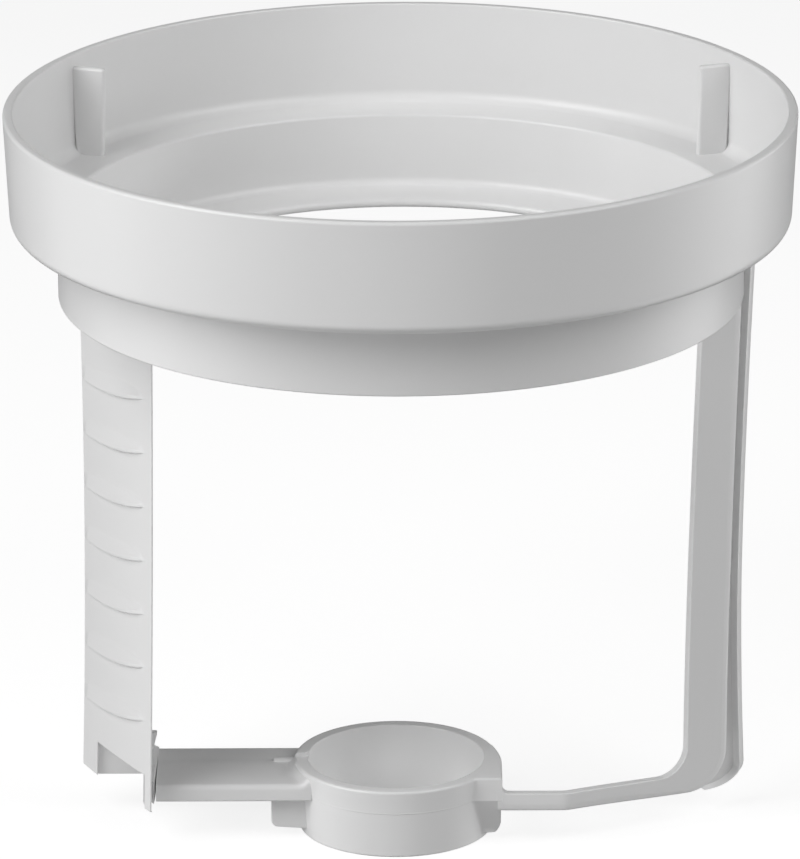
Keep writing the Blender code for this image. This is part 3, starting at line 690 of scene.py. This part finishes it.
def guide_skirt():
    """Lower half of the guide ring, which stands on the floor; the boss dies away downwards."""
    levels = [(GUIDE_SPLIT, GUIDE_OUTER_SPLIT, 0.06), (GUIDE_SPLIT - 0.2, GUIDE_OUTER_SPLIT, 0.06)]
    for z in spread(GUIDE_SPLIT - 0.8, 1.2, 14):
        share = (GUIDE_SPLIT - z) / (GUIDE_SPLIT - 1.2)
        levels.append((z, GUIDE_OUTER_SPLIT + (GUIDE_OUTER_FOOT - GUIDE_OUTER_SPLIT) * share, 0.0))
    for radius_inset, z in arc((0.6, 0.6), 0.6, 180, 270, 5):
        levels.append((z, GUIDE_OUTER_FOOT, radius_inset))
    bore = [(GUIDE_INNER + 0.4, 0.0), (GUIDE_INNER, 0.4), (GUIDE_INNER, GUIDE_SPLIT)]

    def front_at(z):
        return BOSS_FRONT + BOSS_FRONT_FADE * min(max((GUIDE_SPLIT - z) / 9.5, 0.0), 1.0)

    def right_at(z):
        low = min(max((BOSS_SIDE_HEIGHT - z) / BOSS_SIDE_HEIGHT, 0.0), 1.0)
        return BOSS_RIGHT - BOSS_SKIRT_INSET - BOSS_SIDE_FADE * (1 - math.sqrt(1 - low * low))

    return guide_loop("guide_skirt_moulding", "guide_skirt", levels, bore, front_at, right_at)


# ---------------------------------------------------------------- channel leg

def plane_point(along, deep):
    """Plan point along the strap and leg: straight before the bend, turned back after it."""
    span = BEND_SOFTNESS
    if along <= -span / 2:
        place = BEND + Vector((along, 0.0))
        angle = 0.0
    elif along >= span / 2:
        place = BEND + Vector((math.cos(BEND_ANGLE), math.sin(BEND_ANGLE))) * along
        angle = BEND_ANGLE
    else:
        share = along / span + 0.5
        angle = BEND_ANGLE * share
        radius = span / BEND_ANGLE
        start = BEND + Vector((-span / 2, 0.0))
        place = start + Vector((radius * math.sin(angle), radius * (1 - math.cos(angle))))
    return place + Vector((-math.sin(angle), math.cos(angle))) * deep


def leg_spread(z):
    """How far the leg has moved outwards at this height."""
    return LEG_SPREAD * max((z - LEG_SPREAD_FOOT) / LEG_SPREAD_HEIGHT, 0.0) ** 1.5


def strap_drop(along, full):
    """How far an edge of the strap has sunk at a place past the bend."""
    return full * smoothstep(along / STRAP_DROP_LENGTH)


def band_stations(start, end):
    """(inner, outer) edge points, as (along, height), down the strap and up the leg."""
    inner_turn = LEG_INNER - INNER_CORNER
    outer_turn = LEG_OUTER - OUTER_CORNER
    stations = []
    if start < STRAP_SPLIT:
        places = [start, start + 1.1, start + 1.3, start + 1.6, start + 2.0, start + 2.5, start + 3.2]
        places += spread(start + 6.0, -BEND_SOFTNESS, 4)
        places += spread(-BEND_SOFTNESS / 2, BEND_SOFTNESS / 2, 10)
        places += spread(BEND_SOFTNESS, end, 8)
        for along in places:
            top = STRAP_TOP - strap_drop(along, STRAP_TOP_DROP)
            stations.append(((along, top), (along, STRAP_UNDER - strap_drop(along, STRAP_UNDER_DROP))))
        return stations
    for share in spread(0.0, 1.0, 10):
        inner_along = start + (inner_turn - start) * share
        outer_along = start + (outer_turn - start) * share
        inner = (inner_along, STRAP_TOP - strap_drop(inner_along, STRAP_TOP_DROP))
        stations.append((inner, (outer_along, STRAP_UNDER - strap_drop(outer_along, STRAP_UNDER_DROP))))
    inner_top = stations[-1][0][1]
    outer_under = stations[-1][1][1]
    inner_arc = arc((inner_turn, inner_top + INNER_CORNER), INNER_CORNER, -90, 0, 20)
    outer_arc = arc((outer_turn, outer_under + OUTER_CORNER), OUTER_CORNER, -90, 0, 20)
    stations += list(zip(inner_arc, outer_arc))[1:]
    for share in spread(0.0, 1.0, 24)[1:]:
        inner_z = inner_arc[-1][1] + (end - inner_arc[-1][1]) * share
        outer_z = outer_arc[-1][1] + (end - outer_arc[-1][1]) * share
        inner_along = LEG_INNER + leg_spread(inner_z) * INNER_SPREAD
        stations.append(((inner_along, inner_z), (LEG_OUTER + leg_spread(outer_z), outer_z)))
    return stations


def band_ring(inner, outer, lift=0.0):
    """Cross-section of the strap or front flange between its inner and outer edge lines."""
    width = math.hypot(outer[0] - inner[0], outer[1] - inner[1])
    shares = [(0.0, STRAP_THICK), (0.0, 0.35), (0.05, 0.17), (0.17, 0.05), (0.35, 0.0)]
    shares += [(width * 0.5, 0.0), (width - 1.9, 0.0), (width - 1.7, 0.02), (width - 1.0, 0.12)]
    shares += [(width - 0.45, 0.24), (width - 0.2, 0.36), (width - 0.06, 0.56), (width, 0.8)]
    shares += [(width, STRAP_THICK)]
    ring = []
    for distance, deep in shares:
        share = distance / width
        along = inner[0] + (outer[0] - inner[0]) * share
        z = inner[1] + (outer[1] - inner[1]) * share + lift * (1 - share)
        plan = plane_point(along, deep + 0.05)
        ring.append((plan.x, plan.y, z))
    return ring


def thin_arm():
    """Strap from the guide ring's boss, bent back towards the channel leg, with a fillet."""
    start = BOSS_RIGHT - BEND.x - STRAP_BURIED
    rings = []
    for inner, outer in band_stations(start, STRAP_SPLIT):
        clear = max(inner[0] - start - STRAP_BURIED, 0.0)
        rings.append(band_ring(inner, outer, end_round(clear, STRAP_FILLET)))
    shape = bmesh.new()
    skin(shape, rings)
    return piece("thin_arm_strap", shape, "thin_arm", "frame_plastic", 50.0)


def back_outer(z):
    """Outer edge of the back flange at a height, along the leg's plane."""
    above = max((z - BACK_WAIST) / BACK_FLARE_HEIGHTS[0], 0.0)
    below = max((BACK_WAIST - z) / BACK_FLARE_HEIGHTS[1], 0.0)
    return BACK_EDGE + BACK_TOP_FLARE * above**1.5 + BACK_FOOT_FLARE * below**2


def channel_leg():
    """Front flange, web and longer back flange with a turned-up rim; open outwards."""
    shape = bmesh.new()
    top = LIP_UNDER + 0.5
    skin(shape, [band_ring(*station) for station in band_stations(STRAP_SPLIT, top)])
    ledge = LEDGE_UNDER + 0.3
    rings = []
    reach, corner = BACK_CORNER
    knee = BACK_FOOT + corner
    for z in [BACK_FOOT + corner * share**2 for share in spread(0.0, 1.0, 11)]:
        fall = (knee - z) / corner
        outer = back_outer(knee) - reach * (1 - math.sqrt(max(1 - fall**2, 0.0)))
        rings.append(back_section(outer, z))
    for z in spread(knee, ledge, 44)[1:]:
        rings.append(back_section(back_outer(z), z))
    skin(shape, rings)
    web = []
    for z in spread(WEB_FOOT, top, 24):
        near = WEB_AT + leg_spread(z)
        far = near + WEB_THICK
        corners = ((near, 1.6), (far, 1.6), (far, BACK_OFFSET + 1.6), (near, BACK_OFFSET + 1.6))
        points = [plane_point(along, deep) for along, deep in corners]
        web.append([(plan.x, plan.y, z) for plan in points])
    skin(shape, web)
    return piece("channel_leg_moulding", shape, "channel_leg", "frame_plastic", 50.0)


def back_section(outer, z):
    """Plan section of the back flange at a height, from the web out to its turned-up rim."""
    front = BACK_OFFSET + 0.7
    back = BACK_OFFSET + STRAP_THICK
    start = WEB_AT + leg_spread(z)
    if z > LIP_UNDER - 0.5:
        start = outer - 5.2
    start = min(start, outer - 4.0)
    # round the section: the front face, the turned-up rim, then the outer edge
    rim = [
        (start, back), (start, front), (outer - 3.3, front), (outer - 3.0, front - 0.25),
        (outer - 2.9, front - 2.6), (outer - 2.7, front - 2.85), (outer - 2.4, front - 2.8),
        (outer - 1.0, front - 1.25), (outer - 0.25, front - 0.4), (outer - 0.05, front - 0.05),
        (outer, front + 0.5), (outer, back - 0.3), (outer - 0.3, back),
    ]
    points = [plane_point(along, deep) for along, deep in rim]
    return [(plan.x, plan.y, z) for plan in points]


# ---------------------------------------------------------------- studio

FLOOR_REACH = 8.0
FLOOR_GLOW = 0.8
WORLD_GLOW = 0.02
SOFTBOX_SIZE = 1.2
SOFTBOX_DISTANCE = 1.6


def floor():
    """Plain pale floor; it takes the object's shadow and lets the bounce lights below it through."""
    mesh = bpy.data.meshes.new("floor")
    corners = [(-1, -1), (1, -1), (1, 1), (-1, 1)]
    mesh.from_pydata([(x * FLOOR_REACH, y * FLOOR_REACH, 0) for x, y in corners], [], [(0, 1, 2, 3)])
    obj = bpy.data.objects.new("floor", mesh)
    bpy.context.scene.collection.objects.link(obj)
    made = bpy.data.materials.new("floor_white")
    made.use_nodes = True
    shader = made.node_tree.nodes["Principled BSDF"]
    shader.inputs["Base Color"].default_value = (0.3, 0.3, 0.3, 1.0)
    shader.inputs["Roughness"].default_value = 0.9
    shader.inputs["Specular IOR Level"].default_value = 0.0
    shader.inputs["Emission Color"].default_value = (1.0, 1.0, 1.0, 1.0)
    shader.inputs["Emission Strength"].default_value = FLOOR_GLOW
    mesh.materials.append(made)
    obj.visible_diffuse = False
    obj.visible_glossy = False
    obj.visible_shadow = False


def softbox(name, azimuth, elevation, watts):
    """A square soft light aimed at the object; azimuth 0 is in front and 90 at the right."""
    turn = math.radians(azimuth)
    rise = math.radians(elevation)
    way = Vector((math.sin(turn) * math.cos(rise), -math.cos(turn) * math.cos(rise), math.sin(rise)))
    light = bpy.data.lights.new(name, "AREA")
    light.shape = "SQUARE"
    light.size = SOFTBOX_SIZE
    light.energy = watts
    obj = bpy.data.objects.new(name, light)
    obj.location = Vector((0.0, 0.0, 0.1)) + way * SOFTBOX_DISTANCE
    obj.rotation_mode = "QUATERNION"
    obj.rotation_quaternion = way.to_track_quat("Z", "Y")
    bpy.context.scene.collection.objects.link(obj)


# (name, azimuth, elevation, watts): a key from the left, fills in front and at the right, and
# lights below the floor for the bounce of a white table
SOFTBOXES = (
    ("key_left", -75.0, 5.0, 6.6),
    ("key_left_high", -60.0, 40.0, 17.2),
    ("right_high", 60.0, 40.0, 10.2),
    ("front_high", 0.0, 40.0, 1.6),
    ("rim_right", 112.0, 5.0, 8.2),
    ("bounce_far_left", -100.0, -35.0, 4.2),
    ("bounce_left", -50.0, -35.0, 2.6),
    ("bounce_front", 0.0, -35.0, 5.0),
    ("bounce_right", 50.0, -35.0, 1.2),
    ("bounce_far_right", 102.0, -35.0, 5.0),
)


def studio():
    """A dim surround, with large soft lights on all sides but the back, and below."""
    world = bpy.data.worlds.new("studio")
    world.use_nodes = True
    world.node_tree.nodes["Background"].inputs["Color"].default_value = (1.0, 1.0, 1.0, 1.0)
    world.node_tree.nodes["Background"].inputs["Strength"].default_value = WORLD_GLOW
    bpy.context.scene.world = world
    bpy.context.scene.view_settings.view_transform = "Standard"
    for name, azimuth, elevation, watts in SOFTBOXES:
        softbox(name, azimuth, elevation, watts)


# Camera: distance in rim radii, and angles in radians
CAMERA_DISTANCE = 19.4712
CAMERA_ELEVATION = 0.2822
CAMERA_PITCH = 0.32391
CAMERA_ROLL = 0.00412
SENSOR_WIDTH = 36.0
FOCAL_LENGTH = 324.23
LENS_SHIFT = -0.00193


def camera():
    """Long-lens camera in front of the object, looking slightly down."""
    distance = CAMERA_DISTANCE * RIM_RADIUS * MM
    back = distance * math.cos(CAMERA_ELEVATION)
    rise = distance * math.sin(CAMERA_ELEVATION)
    place = Vector((0.0, -back, RIM_TOP * MM + rise))
    across = Vector((1.0, 0.0, 0.0))
    up = Vector((0.0, math.sin(CAMERA_PITCH), math.cos(CAMERA_PITCH)))
    ahead = Vector((0.0, math.cos(CAMERA_PITCH), -math.sin(CAMERA_PITCH)))
    right = across * math.cos(CAMERA_ROLL) - up * math.sin(CAMERA_ROLL)
    top = across * math.sin(CAMERA_ROLL) + up * math.cos(CAMERA_ROLL)
    turn = Matrix((right, top, -ahead)).transposed().to_4x4()
    lens = bpy.data.cameras.new("camera")
    lens.sensor_width = SENSOR_WIDTH
    lens.lens = FOCAL_LENGTH
    lens.shift_x = LENS_SHIFT
    lens.clip_end = 50.0
    obj = bpy.data.objects.new("camera", lens)
    obj.matrix_world = Matrix.Translation(place) @ turn
    bpy.context.scene.collection.objects.link(obj)
    bpy.context.scene.camera = obj


camera()
rim_ring()
throat_ring()
stop_rib("left_stop_rib", -1)
stop_rib("right_stop_rib", 1)
toothed_leg()
leg_cheek()
wide_arm()
arm_gusset()
guide_ring()
guide_skirt()
thin_arm()
channel_leg()
floor()
studio()
